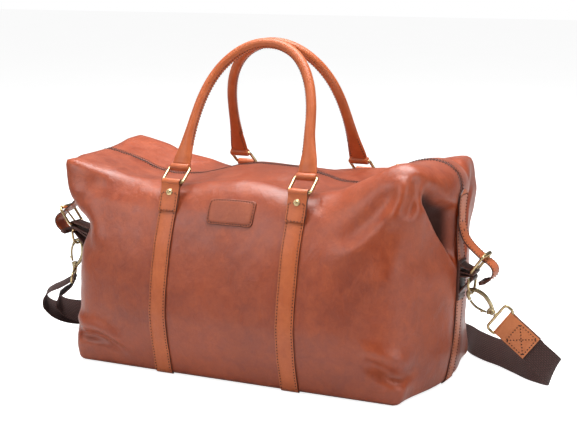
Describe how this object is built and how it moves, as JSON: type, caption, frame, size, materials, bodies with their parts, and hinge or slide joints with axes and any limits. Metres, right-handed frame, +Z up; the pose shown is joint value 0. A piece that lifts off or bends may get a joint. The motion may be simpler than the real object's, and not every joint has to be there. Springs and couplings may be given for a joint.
{
  "type": "duffel bag",
  "caption": "Leather duffel bag with rolled carry handles on rings, zipped top, buckled end straps and a webbing shoulder strap on snap hooks.",
  "frame": {"origin": "middle of the underside of the base, on the surface the bag stands on", "axes": "+Z up; -Y towards the face with the label patch; +X towards the bag's end whose hook holds the end tab of the shoulder strap"},
  "size_m": [0.8347, 0.3657, 0.4734],
  "materials": {
    "body_leather": "satin",
    "strap_leather": "satin",
    "dark_leather": "satin",
    "brass": "satin",
    "webbing": "woven",
    "zip_tape": "woven",
    "lining": "woven",
    "board": "matte"
  },
  "bodies": {
    "bag": {"front_panel": "body_leather", "back_panel": "body_leather", "base_panel": "body_leather", "left_end_strip": "body_leather", "right_end_strip": "body_leather", "front_left_strap": "strap_leather", "front_right_strap": "strap_leather", "back_left_strap": "strap_leather", "back_right_strap": "strap_leather", "label_patch": "strap_leather", "front_left_chape": "strap_leather", "front_right_chape": "strap_leather", "back_left_chape": "strap_leather", "back_right_chape": "strap_leather", "left_end_strap": "strap_leather", "right_end_strap": "strap_leather", "strap_end_tab": "strap_leather", "left_anchor": "dark_leather", "right_anchor": "dark_leather", "left_keeper": "dark_leather", "right_keeper": "dark_leather", "zip_chain": "brass", "front_left_rivet": "brass", "front_right_rivet": "brass", "back_left_rivet": "brass", "back_right_rivet": "brass", "left_hook_loop": "brass", "right_hook_loop": "brass", "strap_slide": "brass", "shoulder_webbing": "webbing", "shoulder_webbing_return": "webbing", "zip_tape_front": "zip_tape", "zip_tape_back": "zip_tape", "lining": "lining", "base_board": "board"},
    "front_left_ring_body": {"front_left_ring": "brass"},
    "front_right_ring_body": {"front_right_ring": "brass"},
    "front_handle_body": {"front_handle": "strap_leather"},
    "back_left_ring_body": {"back_left_ring": "brass"},
    "back_right_ring_body": {"back_right_ring": "brass"},
    "back_handle_body": {"back_handle": "strap_leather"},
    "zip_slider_body": {"zip_slider": "brass"},
    "zip_pull_body": {"zip_pull": "brass"},
    "left_buckle_frame_body": {"left_buckle_frame": "brass"},
    "left_buckle_prong_body": {"left_buckle_prong": "brass"},
    "left_d_ring_body": {"left_d_ring": "brass"},
    "left_hook": {"left_hook_body": "brass"},
    "left_hook_gate_body": {"left_hook_gate": "brass"},
    "right_buckle_frame_body": {"right_buckle_frame": "brass"},
    "right_buckle_prong_body": {"right_buckle_prong": "brass"},
    "right_d_ring_body": {"right_d_ring": "brass"},
    "right_hook": {"right_hook_body": "brass"},
    "right_hook_gate_body": {"right_hook_gate": "brass"}
  },
  "joints": [
    {"name": "front_left_ring_swing", "type": "hinge", "parent": "bag", "child": "front_left_ring_body", "pos_m": [-0.1, -0.1125, 0.273], "axis": [1, 0, 0], "range_deg": [0, 60]},
    {"name": "front_right_ring_swing", "type": "hinge", "parent": "bag", "child": "front_right_ring_body", "pos_m": [0.1, -0.1125, 0.273], "axis": [1, 0, 0], "range_deg": [0, 60]},
    {"name": "front_handle_swing", "type": "hinge", "parent": "front_left_ring_body", "child": "front_handle_body", "pos_m": [-0.1, -0.089, 0.291], "axis": [1, 0, 0], "range_deg": [0, 90]},
    {"name": "back_left_ring_swing", "type": "hinge", "parent": "bag", "child": "back_left_ring_body", "pos_m": [-0.1, 0.1125, 0.273], "axis": [-1, 0, 0], "range_deg": [0, 60]},
    {"name": "back_right_ring_swing", "type": "hinge", "parent": "bag", "child": "back_right_ring_body", "pos_m": [0.1, 0.1125, 0.273], "axis": [-1, 0, 0], "range_deg": [0, 60]},
    {"name": "back_handle_swing", "type": "hinge", "parent": "back_left_ring_body", "child": "back_handle_body", "pos_m": [-0.1, 0.089, 0.291], "axis": [-1, 0, 0], "range_deg": [0, 90]},
    {"name": "zip_run", "type": "slide", "parent": "bag", "child": "zip_slider_body", "axis": [0.8683, 0, 0.496], "range_m": [-0.022, 0.02]},
    {"name": "zip_pull_flip", "type": "hinge", "parent": "zip_slider_body", "child": "zip_pull_body", "pos_m": [0.19673, 0, 0.30059], "axis": [0, 1, 0], "range_deg": [0, 150]},
    {"name": "right_buckle_rock", "type": "hinge", "parent": "bag", "child": "right_buckle_frame_body", "pos_m": [0.312, 0, 0.163], "axis": [0, 1, 0], "range_deg": [-1.5, 1.5]},
    {"name": "right_prong_lift", "type": "hinge", "parent": "right_buckle_frame_body", "child": "right_buckle_prong_body", "pos_m": [0.312, 0, 0.163], "axis": [0, 1, 0], "range_deg": [0, 2]},
    {"name": "right_d_ring_swing", "type": "hinge", "parent": "bag", "child": "right_d_ring_body", "pos_m": [0.309, 0, 0.1535], "axis": [0, 1, 0], "range_deg": [-4, 2.5]},
    {"name": "left_buckle_rock", "type": "hinge", "parent": "bag", "child": "left_buckle_frame_body", "pos_m": [-0.332, -0.02, 0.179], "axis": [0, -1, 0], "range_deg": [-1.5, 1.5]},
    {"name": "left_prong_lift", "type": "hinge", "parent": "left_buckle_frame_body", "child": "left_buckle_prong_body", "pos_m": [-0.332, -0.02, 0.179], "axis": [0, -1, 0], "range_deg": [0, 2]},
    {"name": "left_d_ring_swing", "type": "hinge", "parent": "bag", "child": "left_d_ring_body", "pos_m": [-0.329, -0.02, 0.1695], "axis": [0, -1, 0], "range_deg": [-3, 3]},
    {"name": "right_hook_swivel", "type": "hinge", "parent": "bag", "child": "right_hook", "pos_m": [0.34376, 0, 0.10453], "axis": [0.79, 0, -0.6131], "range_deg": [-20, 20]},
    {"name": "left_hook_swivel", "type": "hinge", "parent": "bag", "child": "left_hook", "pos_m": [-0.3378, -0.02, 0.10438], "axis": [-0.2, 0, -0.9798], "range_deg": [-20, 20]},
    {"name": "right_gate_open", "type": "hinge", "parent": "right_hook", "child": "right_hook_gate_body", "pos_m": [0.32922, 0, 0.10784], "axis": [0, 1, 0], "range_deg": [0, 20], "stiffness_Nm_per_rad": 0.03},
    {"name": "left_gate_open", "type": "hinge", "parent": "left_hook", "child": "left_hook_gate_body", "pos_m": [-0.34126, -0.02, 0.11889], "axis": [0, 1, 0], "range_deg": [0, 20], "stiffness_Nm_per_rad": 0.03}
  ],
  "couplings": [
    {"joint": "front_right_ring_swing", "follows": "front_left_ring_swing", "ratio": 1},
    {"joint": "back_right_ring_swing", "follows": "back_left_ring_swing", "ratio": 1}
  ]
}
